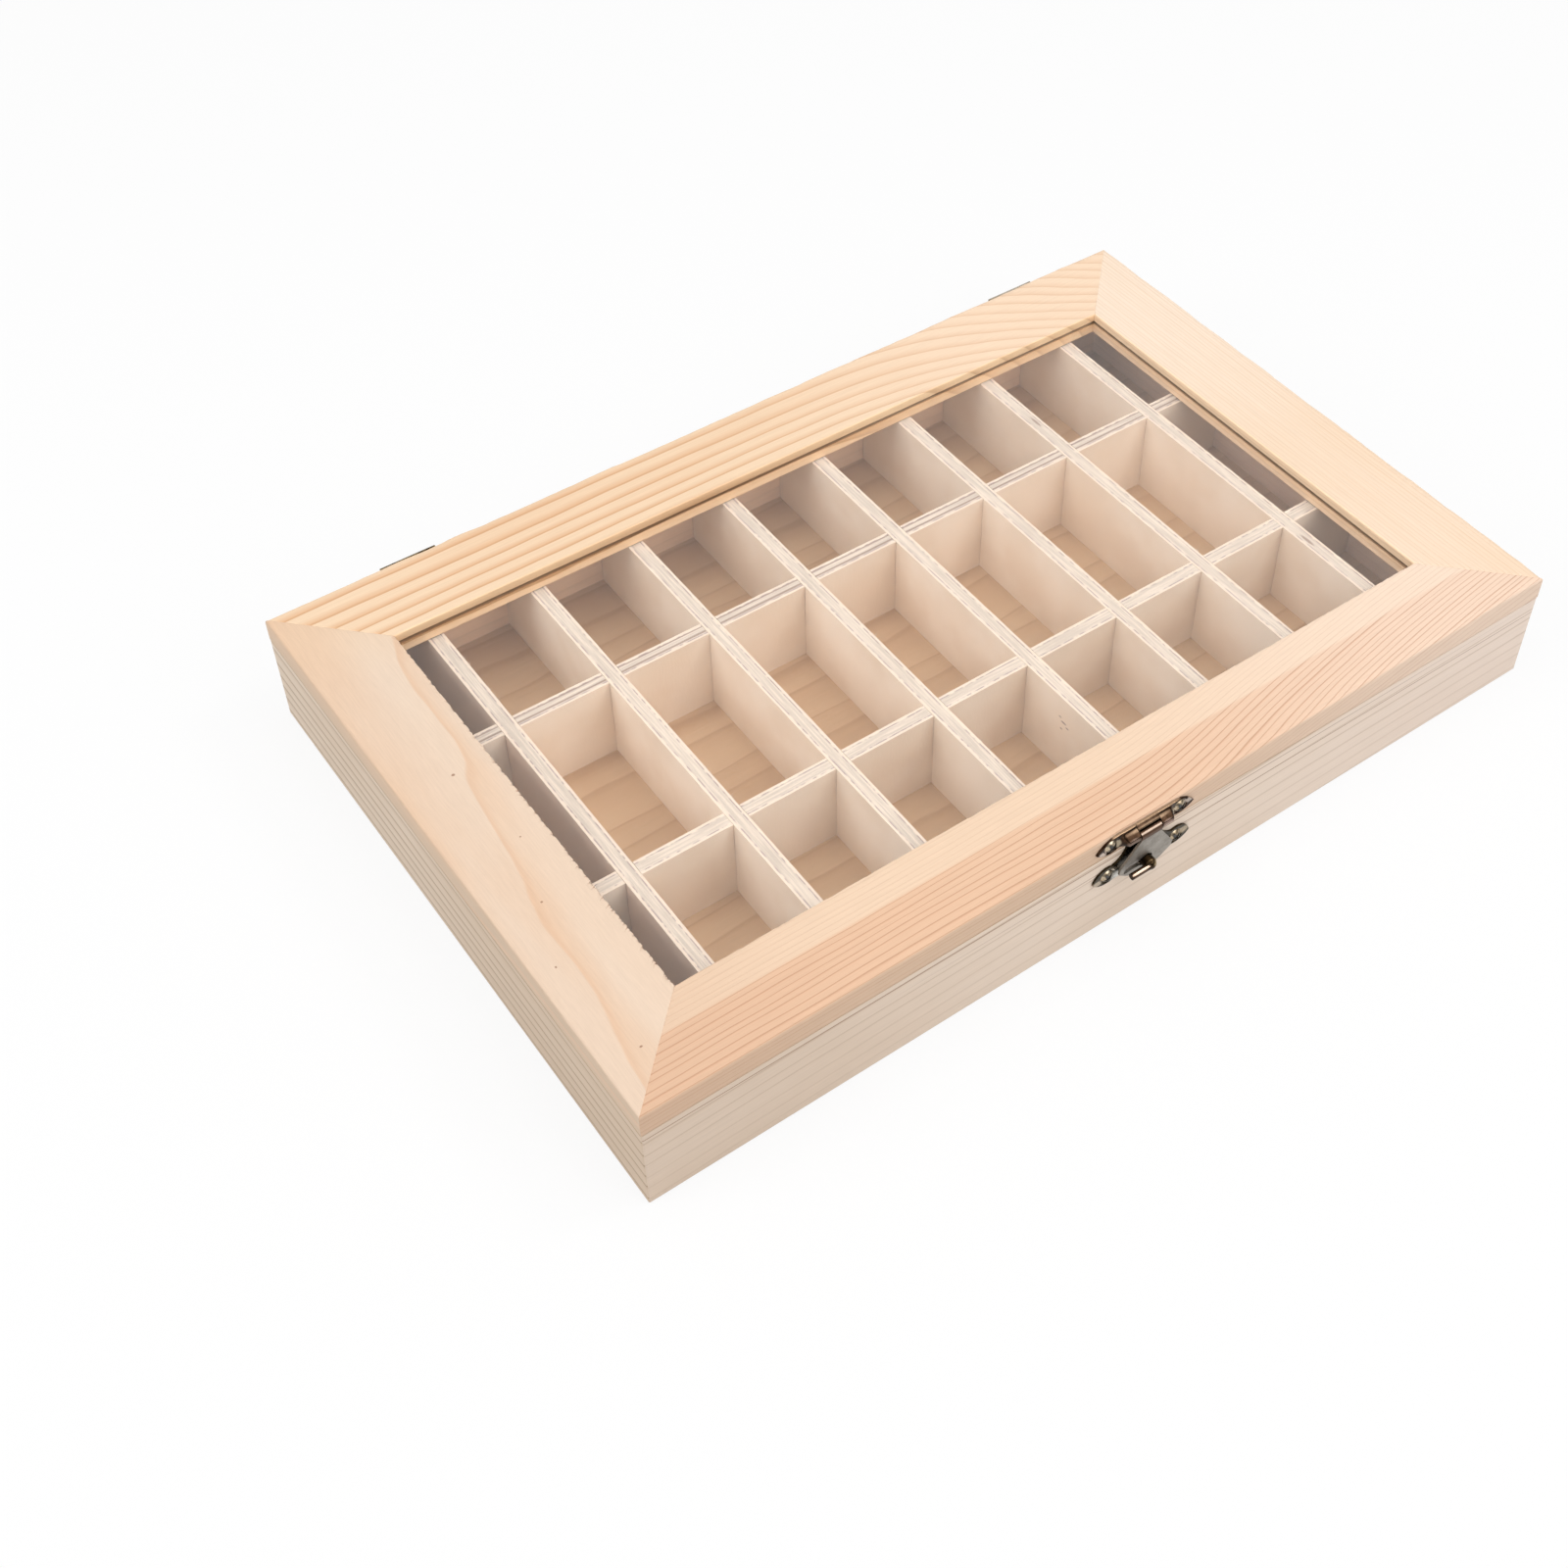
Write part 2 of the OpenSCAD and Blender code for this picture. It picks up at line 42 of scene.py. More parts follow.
# Sizes of the model in millimetres, as in the CAD source
HALF_LENGTH, HALF_DEPTH = 140, 90
SEAM, TOP = 27.75, 35
RAIL_WIDTH = 24.2
GROOVE_LOW, GROOVE_HIGH, GROOVE_DEPTH = 30.65, 32.65, 4
HASP_X, FLAP_AXIS_Z = 0.5, 31.6
PLATE_SCREW_X, LOWER_SCREW_Z, SCREW_TURN = 10.8, 20.3, 35
FIRST_DIVIDER, CELL_PITCH, SHORT_DIVIDERS = -105.156, 30.0444, 8
LONG_DIVIDER_Y = 28.4
PLY, DIVIDER_TOP = 4.4, 27.3


# Meshes

# Random values that a smooth random curve draws, more than any curve uses
KNOTS = 800


def grid_quads(rows, columns):
    """Corner numbers of the quads between the rows of a grid of points. The last
    column joins the first one."""
    r = np.arange(rows - 1)[:, None] * columns
    c = np.arange(columns)[None, :]
    right = (c + 1) % columns
    quads = np.stack([r + c, r + right, r + right + columns, r + c + columns], axis=-1)
    return quads.reshape(-1, 4)


def make_piece(name, points, faces, material, body, crease=35):
    """Puts points (in millimetres) and faces into a new object that rides on a body.
    Edges that turn by more than the crease angle stay sharp."""
    mesh = bpy.data.meshes.new(name)
    mesh.from_pydata((np.asarray(points) * MM).tolist(), [], faces)
    mesh.materials.append(material)
    mesh.polygons.foreach_set("use_smooth", np.ones(len(mesh.polygons), bool))
    mesh.set_sharp_from_angle(angle=math.radians(crease))
    mesh.update()
    piece = bpy.data.objects.new(name, mesh)
    bpy.context.scene.collection.objects.link(piece)
    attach(piece, body)
    return piece


def close_ends(rows, columns):
    """Faces that close the first and the last loop of a swept piece."""
    first = list(range(columns))
    last = [(rows - 1) * columns + k for k in range(columns)][::-1]
    return [first, last]


def wander(s, step, seed):
    """Smooth random curve between -1 and 1: random values every `step` along s, joined
    by half cosines."""
    knots = np.random.default_rng(seed).uniform(-1, 1, KNOTS)
    t = (s - s.min()) / step
    i = np.floor(t).astype(int)
    f = (1 - np.cos(np.pi * (t - i))) / 2
    return knots[i] * (1 - f) + knots[i + 1] * f


def tears(s, count, depth, length, seed):
    """Torn edge: the deepest of `count` random notches at each place along s. A notch
    starts sharply and runs out evenly over its own length."""
    rng = np.random.default_rng(seed)
    start = rng.uniform(s.min(), s.max(), count)[:, None]
    size = rng.uniform(0.2, 1, count)[:, None] ** 2
    run = length * rng.uniform(0.4, 1.6, count)[:, None]
    along = (s[None, :] - start) / run
    notch = depth * size * np.clip(1 - along, 0, 1) * (along >= 0)
    return notch.max(axis=0)


def run_of_points(corners, step):
    """Points along a closed outline, about `step` apart, with every corner kept."""
    points = []
    for a, b in zip(corners, corners[1:] + corners[:1]):
        a, b = np.array(a, float), np.array(b, float)
        count = max(1, round(np.linalg.norm(b - a) / step))
        points.append(a + (b - a) * np.arange(count)[:, None] / count)
    return np.vstack(points)


def rail_outline():
    """Closed section of a lid rail: distance in from its outer face, and height. The
    groove for the pane is open to the window. Both outer edges are quarter circles."""
    top, low, step = 0.6, 0.3, 0.9
    arc = np.radians([0, 22.5, 45, 67.5, 90])
    outer_top = [(top - top * math.cos(a), TOP - top + top * math.sin(a)) for a in arc]
    outer_low = [(low - low * math.sin(a), SEAM + low - low * math.cos(a)) for a in arc]
    inner = RAIL_WIDTH
    inner_arris = [(inner - 0.5, TOP), (inner - 0.15, TOP - 0.03), (inner, TOP - 0.2),
                   (inner, TOP - 0.7)]
    groove = [(inner, GROOVE_HIGH), (inner - GROOVE_DEPTH, GROOVE_HIGH),
              (inner - GROOVE_DEPTH, GROOVE_LOW), (inner, GROOVE_LOW)]
    return run_of_points(outer_low + outer_top + inner_arris + groove + [(inner, SEAM)],
                         step)


def lid_rail(name, half_run, half_across, turn, torn, seed, material, step=0.45):
    """Lid rail cut at 45 degrees. A point of the section at distance d from the outer
    face is carried along s = t (half_run - d) for t from -1 to 1, so both ends lie on
    the mitres. The outer arris is eased by a slow random amount, the inner arris is
    torn, and the top drops a little at the mitres. Each of these moves fades as
    exp(-distance^2 / spread) from its edge."""
    outer_spread, inner_spread, mitre_spread, mitre_drop = 0.7, 0.5, 0.22, 0.09
    ease_mean, ease_slow, ease_quick, tear_mean = 0.16, 0.12, 0.05, 0.06
    count, depth, length = torn
    outline = rail_outline()
    ends = np.array([0, 0.12, 0.3, 0.6, 1.0]) / half_run
    t = np.concatenate([ends, np.arange(1.5, half_run, step) / half_run]) - 1
    t = np.concatenate([t, [0], -t[::-1]])
    d, z = outline[:, 0][None, :], outline[:, 1][None, :]
    s = t[:, None] * (half_run - d)
    run = t * half_run
    near_outer = np.exp(-((d ** 2 + (z - TOP) ** 2) / outer_spread))
    ease = (ease_mean + ease_slow * wander(run, 9, seed)
            + ease_quick * wander(run, 2.5, seed + 1))
    shift = near_outer * ease[:, None]
    near_inner = np.exp(-(((RAIL_WIDTH - d) ** 2 + (z - TOP) ** 2) / inner_spread))
    tear = tear_mean + tears(run, count, depth, length, seed + 2)
    pull = near_inner * tear[:, None]
    to_mitre = (1 - np.abs(t))[:, None] * half_run
    joint = mitre_drop * np.exp(-to_mitre / mitre_spread) * (z > TOP - 0.5)
    across = d + shift - pull
    height = z - shift * 0.8 - 0.5 * pull - joint
    x, y = s, -half_across + across
    c, w = round(math.cos(turn)), round(math.sin(turn))
    points = np.stack([c * x - w * y, w * x + c * y, height], axis=-1).reshape(-1, 3)
    faces = grid_quads(*s.shape)[:, ::-1].tolist() + close_ends(*s.shape)
    rail = make_piece(name + "_planed", points, faces, material, "lid")
    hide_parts(name)


def smooth(t):
    """Rises from 0 to 1 as t does, level at both ends: 3 t^2 - 2 t^3."""
    t = np.clip(t, 0, 1)
    return t * t * (3 - 2 * t)


def stamped_plate(material):
    """Upper plate of the hasp, swept along x. Each section is a closed loop: up the
    stamped front from the lower to the upper edge, then straight down the back. In the
    wings the front is flat with a dish round the screw; the edges are two arcs that
    meet in the tip. Over each outer knuckle the front follows a circle round the pin,
    then a cubic curve back to the upper edge; above the flap's knuckle a ridge bulges
    out. One form runs into the next by a smooth step."""
    reach, peak, bar, screw_x, foot, drop = 15.3, 2.9, 8.7, PLATE_SCREW_X, 2.6, 0.6
    sheet, knuckle, axis, middle = 0.6, 1.15, 1.8, 3.45
    leave, leave_z, across = 0.62, 0.942, 44
    top_arc = ((reach - bar) ** 2 + (peak + drop) ** 2) / (2 * (peak + drop))
    low_arc = ((reach - screw_x) ** 2 + (foot - drop) ** 2) / (2 * (foot - drop))
    x = np.concatenate([[0, 1.2, 2.4, 3.2, middle - 0.01, middle + 0.01, 3.8],
                        np.arange(4.2, 6.6, 0.4), np.arange(6.6, 15.2, 0.15), [15.25]])
    x = np.concatenate([-x[:0:-1], x])[:, None]
    a = np.abs(x)
    high = peak - top_arc + np.sqrt(top_arc ** 2 - np.clip(a - bar, 0, None) ** 2)
    low = low_arc - foot - np.sqrt(low_arc ** 2 - np.clip(a - screw_x, -5, None) ** 2)
    low = np.where(a > screw_x, low, np.minimum(low, -knuckle))
    u = np.linspace(0, 1, across)[None, :]
    pad = np.minimum(0.12, 0.3 * (high - low))
    flat_z = low + pad + (high - low - 2 * pad) * u
    dish = 1 - smooth((np.hypot(a - screw_x, flat_z) - 1.95) / 0.45)
    ridge = smooth((flat_z - 1.2) / 0.5) * (1 - smooth((flat_z - 1.8) / 1.1))
    rim = np.exp(-((np.minimum(u, 1 - u) * (high - low) - 0.35) / 0.2) ** 2)
    flat_y = -sheet + 0.3 * dish - ridge * (a < middle) - 0.1 * rim * (a > bar)
    turned = np.radians(-90 + 145 * np.clip(u / leave, 0, 1))
    v = np.clip((u - leave) / (1 - leave), 0, 1)
    start = axis + knuckle * math.cos(math.radians(55))
    fall = (-start * (1 - smooth(v)) - (sheet + 0.05) * smooth(v)
            + 1.9 * v * (1 - v) ** 2)
    round_z = np.where(v > 0, leave_z + (peak - 0.12 - leave_z) * v,
                       knuckle * np.sin(turned))
    round_y = np.where(v > 0, fall, -axis - knuckle * np.cos(turned))
    swell = np.where(a > middle, 1 - smooth((a - 6.7) / 1.7), 0)
    z = flat_z + (round_z - flat_z) * swell
    y = flat_y + (round_y - flat_y) * swell
    y_edge = [np.minimum(y[:, :1] + 0.13, 0), np.minimum(y[:, -1:] + 0.13, 0)]
    y = np.hstack([0 * high, y_edge[0], y, y_edge[1], 0 * high])
    z = np.hstack([low, low, z, high, high])
    points = np.stack([HASP_X + x + 0 * y, y - HALF_DEPTH, z + FLAP_AXIS_Z], axis=-1)
    faces = grid_quads(*y.shape)[:, ::-1].tolist() + close_ends(*y.shape)
    plate = make_piece("latch_upper_plate_stamped", points.reshape(-1, 3), faces,
                       material, "lid")
    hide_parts("latch_upper_plate")


def divider_fibres(material):
    """Loose wood fibres on the sawn top edges of the dividers, in small clusters. Each
    is a thin three-sided spike that leans off its edge by a random angle. Clusters that
    would fall on a crossing are moved along."""
    rng = np.random.default_rng(5)
    clusters, each, reach = 34, 5, 62
    crossing_reach, move = 5, 10
    divider = rng.integers(0, SHORT_DIVIDERS, clusters)
    side = rng.choice([-1, 1], clusters)
    x = FIRST_DIVIDER + divider * CELL_PITCH + side * (PLY / 2 - 0.1)
    y = rng.uniform(-reach, reach, clusters)
    crossing = np.abs(np.abs(y) - LONG_DIVIDER_Y) < crossing_reach
    y = y + np.where(crossing, move, 0)
    base = np.stack([x, y, np.full(clusters, DIVIDER_TOP - 0.1)], axis=-1)
    base = np.repeat(base, each, axis=0)
    base[:, 1] += rng.normal(0, 1.1, len(base))
    run = rng.uniform(0.5, 1.5, len(base)) * rng.uniform(0.6, 1.1, clusters).repeat(each)
    lean = np.stack([side.repeat(each) * rng.uniform(0.3, 1, len(base)),
                     rng.normal(0, 0.7, len(base)), rng.uniform(0.1, 0.7, len(base))], -1)
    tip = base + lean / np.linalg.norm(lean, axis=1)[:, None] * run[:, None]
    corner = np.array([[0.09, 0, 0], [-0.05, 0.09, 0], [-0.05, -0.09, 0]])
    points = np.concatenate([base[:, None] + corner, tip[:, None]], axis=1)
    start = 4 * np.arange(len(base))[:, None, None]
    faces = start + np.array([[0, 2, 1], [0, 1, 3], [1, 2, 3], [2, 0, 3]])
    make_piece("divider_fibres", points.reshape(-1, 3), faces.reshape(-1, 3).tolist(),
               material, "box")


# Shader nodes

def linear(code):
    """Linear colour of a six-digit sRGB code."""
    parts = [int(code[i:i + 2], 16) / 255 for i in (0, 2, 4)]
    return [p / 12.92 if p <= 0.04045 else ((p + 0.055) / 1.055) ** 2.4
            for p in parts] + [1]


class Net:
    """Adds nodes to a tree. What is given for a socket is set on it, or wired to it if
    it is a socket itself. Each call gives back the node's first useful output."""

    def __init__(self, tree):
        self.tree = tree

    def node(self, kind, settings=None, sockets=None):
        """New node of a kind, with its settings and what goes into its sockets."""
        made = self.tree.nodes.new("ShaderNode" + kind)
        for key, value in (settings or {}).items():
            setattr(made, key, value)
        for key, value in (sockets or {}).items():
            if isinstance(value, bpy.types.NodeSocket):
                self.tree.links.new(value, made.inputs[key])
            else:
                made.inputs[key].default_value = value
        return made

    def math(self, operation, a, b=0.0, c=0.0):
        """Math node."""
        return self.node("Math", {"operation": operation}, {0: a, 1: b, 2: c}).outputs[0]

    def remap(self, value, low, high, to_low=0.0, to_high=1.0, eased=True):
        """Carries low..high over to to_low..to_high, eased at both ends or straight."""
        settings = {"interpolation_type": "SMOOTHSTEP" if eased else "LINEAR"}
        sockets = {0: value, 1: low, 2: high, 3: to_low, 4: to_high}
        return self.node("MapRange", settings, sockets).outputs[0]

    def mix(self, factor, a, b):
        """Colour a with colour b laid over it by the factor."""
        settings = {"data_type": "RGBA"}
        return self.node("Mix", settings, {0: factor, 6: a, 7: b}).outputs[2]

    def stretch(self, vector, by):
        """Vector times three numbers."""
        return self.node("VectorMath", {"operation": "MULTIPLY"},
                         {0: vector, 1: by}).outputs[0]

    def noise(self, vector, scale, detail=2.0, rough=0.5):
        """Noise between 0 and 1."""
        return self.node("TexNoise", None, {
            "Vector": vector, "Scale": scale, "Detail": detail,
            "Roughness": rough}).outputs[0]

    def placed(self, centre=(0, 0, 0), turn=(0, 0, 0)):
        """Object coordinates measured from a centre (mm), along axes turned by degrees."""
        here = self.node("TexCoord").outputs["Object"]
        return self.node("Mapping", {"vector_type": "TEXTURE"}, {
            "Vector": here, "Location": [v * MM for v in centre],
            "Rotation": [math.radians(v) for v in turn]}).outputs[0]


def new_group(name, inputs, outputs):
    """Empty shader node group with named sockets, and the net, inputs and outputs."""
    group = bpy.data.node_groups.new(name, "ShaderNodeTree")
    kinds = {"v": "NodeSocketVector", "f": "NodeSocketFloat"}
    for key, kind, value in inputs:
        made = group.interface.new_socket(key, in_out="INPUT", socket_type=kinds[kind])
        if value is not None:
            made.default_value = value
    for key, kind in outputs:
        group.interface.new_socket(key, in_out="OUTPUT", socket_type=kinds[kind])
    net = Net(group)
    ins = group.nodes.new("NodeGroupInput").outputs
    outs = group.nodes.new("NodeGroupOutput").inputs
    return group, net, ins, outs


def growth_ring_group():
    """Growth rings of a log cut into boards. X runs along the log. The distance from
    its heart, sqrt(y^2 + z^2), over the ring spacing gives the ring number n; slow
    noise moves it. Past Bend Start the heart leaves the board by Bend and Rise. Within
    a ring the late wood darkens slowly and ends at once."""
    group, net, ins, outs = new_group("growth_rings", [
        ("Vector", "v", None), ("Spacing", "f", 0.004), ("Wander", "f", 0.001),
        ("Bend", "f", 0.0), ("Bend Start", "f", 0.0), ("Rise", "f", 0.0),
        ("Softness", "f", 0.03), ("Late Start", "f", 0.3), ("Uneven", "f", 0.9)], [
        ("Late", "f"), ("Line", "f"), ("Fibre", "f"), ("Cloud", "f")])
    parts = net.node("SeparateXYZ", None, {0: ins["Vector"]}).outputs
    past = net.math("SUBTRACT", parts[0], ins["Bend Start"])
    past = net.math("SMOOTH_MAX", past, 0.0, ins["Softness"])
    y = net.math("SUBTRACT", parts[1], net.math("MULTIPLY", past, ins["Bend"]))
    z = net.math("SUBTRACT", parts[2], net.math("MULTIPLY", past, ins["Rise"]))
    slow = net.stretch(ins["Vector"], (9, 60, 60))
    drift = net.math("SUBTRACT", net.noise(slow, 1.0, 2.0, 0.4), 0.5)
    quick = net.stretch(ins["Vector"], (60, 150, 150))
    shiver = net.math("SUBTRACT", net.noise(quick, 1.0, 1.0), 0.5)
    drift = net.math("ADD", drift, net.math("MULTIPLY", shiver, 0.12))
    heart = net.math("SQRT", net.math("ADD", net.math("MULTIPLY", y, y),
                                      net.math("MULTIPLY", z, z)))
    heart = net.math("ADD", heart, net.math("MULTIPLY", drift, ins["Wander"]))
    ring = net.math("DIVIDE", heart, ins["Spacing"])
    years = net.node("TexNoise", {"noise_dimensions": "1D"},
                     {"W": ring, "Scale": 0.8, "Detail": 1.0}).outputs[0]
    ring = net.math("ADD", ring, net.math("MULTIPLY", years, ins["Uneven"]))
    part = net.math("FRACT", ring)
    late = net.remap(part, ins["Late Start"], 0.93)
    cut = net.remap(part, 0.95, 1.0, 1.0, 0.0)
    line = net.math("MULTIPLY", net.remap(part, 0.8, 0.94), cut)
    fine = net.stretch(ins["Vector"], (70, 2600, 2600))
    streak = net.noise(fine, 1.0, 3.0, 0.65)
    for key, value in (
            ("Late", net.math("MULTIPLY", late, cut)), ("Line", line), ("Fibre", streak),
            ("Cloud", net.noise(net.stretch(ins["Vector"], (14, 55, 55)), 1.0, 3.0))):
        net.tree.links.new(value, outs[key])
    return group


RINGS = growth_ring_group()


def principled(name, sockets):
    """New material with one Principled BSDF; its sockets are set by name."""
    material = bpy.data.materials.new(name)
    material.use_nodes = True
    tree = material.node_tree
    tree.nodes.clear()
    net = Net(tree)
    shader = net.node("BsdfPrincipled", None, sockets)
    out = net.node("OutputMaterial", None, {"Surface": shader.outputs[0]})
    return material, net, shader, out


def bump(net, shader, height, distance, strength):
    """Wires a height to the shader's normal."""
    made = net.node("Bump", None, {"Strength": strength, "Distance": distance,
                                   "Height": height})
    net.tree.links.new(made.outputs[0], shader.inputs["Normal"])


def spot(net, place, centre, size):
    """Mask of an ellipsoid of half-axes `size` round a centre, in millimetres."""
    away = net.node("VectorMath", {"operation": "SUBTRACT"},
                    {0: place, 1: [v * MM for v in centre]}).outputs[0]
    away = net.stretch(away, [1 / (v * MM) for v in size])
    length = net.node("VectorMath", {"operation": "LENGTH"}, {0: away}).outputs["Value"]
    return net.remap(length, 1.0, 0.5)


def pine(name, turn, centre, spacing, pale, band, line, wander_by=0.0025, bend=0.0,
         bend_start=0.0, rise=0.0, softness=30.0, late_start=0.3, uneven=0.9,
         band_strength=1.0, line_strength=0.5, cloud=0.3, zones=(), quiet=(),
         specks=()):
    """Planed pine. `turn` and `centre` place the log's heart; pale, band and line are
    the colours of early wood, late wood and the sharp edge between two years. Each
    zone (axis, from, to, colour, amount) tints the wood past a plane, each quiet zone
    (axis, from, to, amount) fades the rings there, and specks are small dark marks."""
    material, net, shader, out = principled(name, {"Roughness": 0.62,
                                                   "Specular IOR Level": 0.3})
    here = net.placed()
    parts = net.node("SeparateXYZ", None, {0: here}).outputs
    rings = net.node("Group", {"node_tree": RINGS}, {
        "Vector": net.placed(centre, turn), "Spacing": spacing * MM,
        "Wander": wander_by, "Bend": bend, "Bend Start": bend_start * MM, "Rise": rise,
        "Softness": softness * MM, "Late Start": late_start,
        "Uneven": uneven}).outputs
    colour = net.mix(net.remap(rings["Cloud"], 0.35, 0.7, 0.0, cloud), linear(pale),
                     linear(band))
    for axis, start, end, tint, amount in zones:
        mask = net.remap(parts[axis], start * MM, end * MM, 0.0, amount)
        colour = net.mix(mask, colour, linear(tint))
    late, edge = rings["Late"], rings["Line"]
    late = net.math("MULTIPLY", late, band_strength)
    edge = net.math("MULTIPLY", edge, line_strength)
    for axis, start, end, amount in quiet:
        rest = net.remap(parts[axis], start * MM, end * MM, 1.0, 1.0 - amount)
        late, edge = (net.math("MULTIPLY", part, rest) for part in (late, edge))
    colour = net.mix(late, colour, linear(band))
    colour = net.mix(edge, colour, linear(line))
    for at, size in specks:
        colour = net.mix(net.math("MULTIPLY", spot(net, here, at, size), 0.75), colour,
                         linear("8A6248"))
    grey = net.remap(rings["Fibre"], 0.3, 0.7, 0.95, 1.03, eased=False)
    colour = net.node("VectorMath", {"operation": "SCALE"},
                      {0: colour, "Scale": grey}).outputs[0]
    net.tree.links.new(colour, shader.inputs["Base Color"])
    net.tree.links.new(net.remap(rings["Late"], 0, 1, 0.68, 0.52),
                       shader.inputs["Roughness"])
    relief = net.math("ADD", net.math("MULTIPLY", rings["Fibre"], 0.6),
                      net.math("MULTIPLY", rings["Late"], 0.5))
    bump(net, shader, relief, 0.00012, 0.6)
    return material


X, Y, Z = range(3)
back_rail_pine = pine(
    "back_rail_pine", (180, 0, 0), (0, 190, 75), 4.15, "E9CDAE", "D8A477", "B48052",
    wander_by=0.0035, bend=0.7, bend_start=72, softness=70, uneven=0.3, late_start=0.35,
    band_strength=0.62, line_strength=0.4, cloud=0.15, quiet=[(X, -60, 90, 0.6)],
    # past y = 66 mm the inner face at the window is lighter: painted light
    zones=[(X, -20, 90, "EFD4B9", 0.9), (Y, 66.3, 66, "FFDAB0", 0.95)])
left_rail_pine = pine(
    "left_rail_pine", (0, 3, 90), (-90, 0, -60), 7, "DDC5AF", "DAB28F", "D2A37E",
    wander_by=0.01, band_strength=0.36, line_strength=0.22, cloud=0.3,
    zones=[(X, -130, -123, "E1CDB9", 0.5), (Y, 50, 80, "E1C5A8", 0.6),
           (X, -139.6, -139.9, "CCB49C", 0.9)],
    specks=[((-130.2, -75.1, 35), (0.5, 0.35, 1)), ((-134.5, -46.5, 35), (0.3, 0.4, 1)),
            ((-126.1, 16.2, 35), (0.6, 0.5, 1)), ((-122.5, -9.6, 35), (0.3, 0.3, 1)),
            ((-128, -29, 35), (0.4, 0.35, 1))])
right_rail_pine = pine(
    "right_rail_pine", (0, 0, 90), (60, 0, 0), 1.1, "ECD4BC", "E6C6A4", "D9B18B",
    wander_by=0.002, band_strength=0.35, line_strength=0.3, late_start=0.5,
    # FFDEBA: past x = 116 mm the inner face at the window is lighter: painted light
    zones=[(Y, -30, 60, "F0DCC8", 0.8), (X, 116.4, 116.1, "FFDEBA", 0.95)])
front_rail_pine = pine(
    "front_rail_pine", (0, 0, 0), (0, -120, -10), 1.14, "DFBA9C", "D29E7C", "AC7C60",
    wander_by=0.0024, rise=0.23, bend_start=15, uneven=0.55, band_strength=0.28,
    line_strength=0.5, late_start=0.65, cloud=0.15,
    zones=[(Y, -75.7, -74.7, "E5C9AE", 0.95), (Y, -89.6, -89.9, "D3B69C", 0.95),
           # lighter towards the right and darker towards the left: painted light and shade
           (X, -20, 120, "F2DDCC", 0.5), (X, -60, -140, "C9A488", 0.35)],
    quiet=[(Y, -76, -74.6, 0.75), (Y, -89.6, -89.9, 0.4)])
front_wall_pine = pine(
    "front_wall_pine", (0, -0.9, 0), (0, -60, -30), 3.6, "E3D1C0", "D4BCA4", "A98D74",
    band_strength=0.3, line_strength=0.45, late_start=0.7, uneven=0.5, wander_by=0.002,
    quiet=[(Z, 20, 10, 0.55)],
    # a dark strip along the top edge under the lid is painted shade in the seam, with dark
    # grain; lighter towards the right and darker towards the left: painted light and shade
    zones=[(Z, 27.45, 27.7, "B08A64", 0.8), (X, 0, -140, "CDB8A4", 0.6),
           (X, 0, 140, "E9D8CC", 0.6)],
    specks=[((-60, -90, 25.7), (230, 2, 0.22)), ((60, -90, 22.6), (160, 2, 0.18))])
left_wall_pine = pine(
    "left_wall_pine", (0, 0, 90), (-122, 0, -40), 4.3, "D8C7B5", "C2A98E", "8B6F53",
    wander_by=0.003, uneven=0.6, band_strength=0.8, line_strength=0.7, late_start=0.5,
    # darker towards the front: painted shade; a dark strip under the lid: painted shade in
    # the seam, with dark grain; the inner face, in the end cell, lighter with its rings
    # faded: painted light
    zones=[(Y, 70, -90, "C8B29B", 0.7), (Z, 27.45, 27.7, "9C7A52", 0.8),
           (X, -133.3, -133.1, "FBE2CC", 0.95)],
    quiet=[(X, -133.3, -133.1, 0.6)])
back_wall_pine = pine(
    "back_wall_pine", (0, 0, 180), (0, 60, -8), 3.2, "E5D2BB", "D8C0A2", "AE926E",
    # the inner face, inside the cells, is lighter with its rings faded: painted light
    band_strength=0.5, line_strength=0.5, late_start=0.5, quiet=[(Y, 83.3, 83.1, 0.8)],
    zones=[(Y, 83.3, 83.1, "FADABC", 0.95)])
right_wall_pine = pine(
    "right_wall_pine", (0, 0, -90), (120, 0, -30), 2.6, "E6D3BB", "DAC4A6", "B09472",
    # the inner face, in the end cell, is lighter with its rings faded: painted light
    band_strength=0.5, line_strength=0.5, late_start=0.5, quiet=[(X, 133.3, 133.1, 0.9)],
    zones=[(X, 133.3, 133.1, "FCE3D1", 0.95)])
floor_pine = pine(
    "floor_pine", (0, 0, 1), (0, -260, -60), 9, "CCAA85", "BA9169", "98704A",
    wander_by=0.012, band_strength=0.42, line_strength=0.22,
    # the floor of the end cells is lighter with its rings faded: painted light
    quiet=[(X, 106, 108, 0.6), (X, -106, -108, 0.6)],
    zones=[(X, 106, 108, "E8CDB0", 0.9), (X, -106, -108, "E8CDB0", 0.9)])


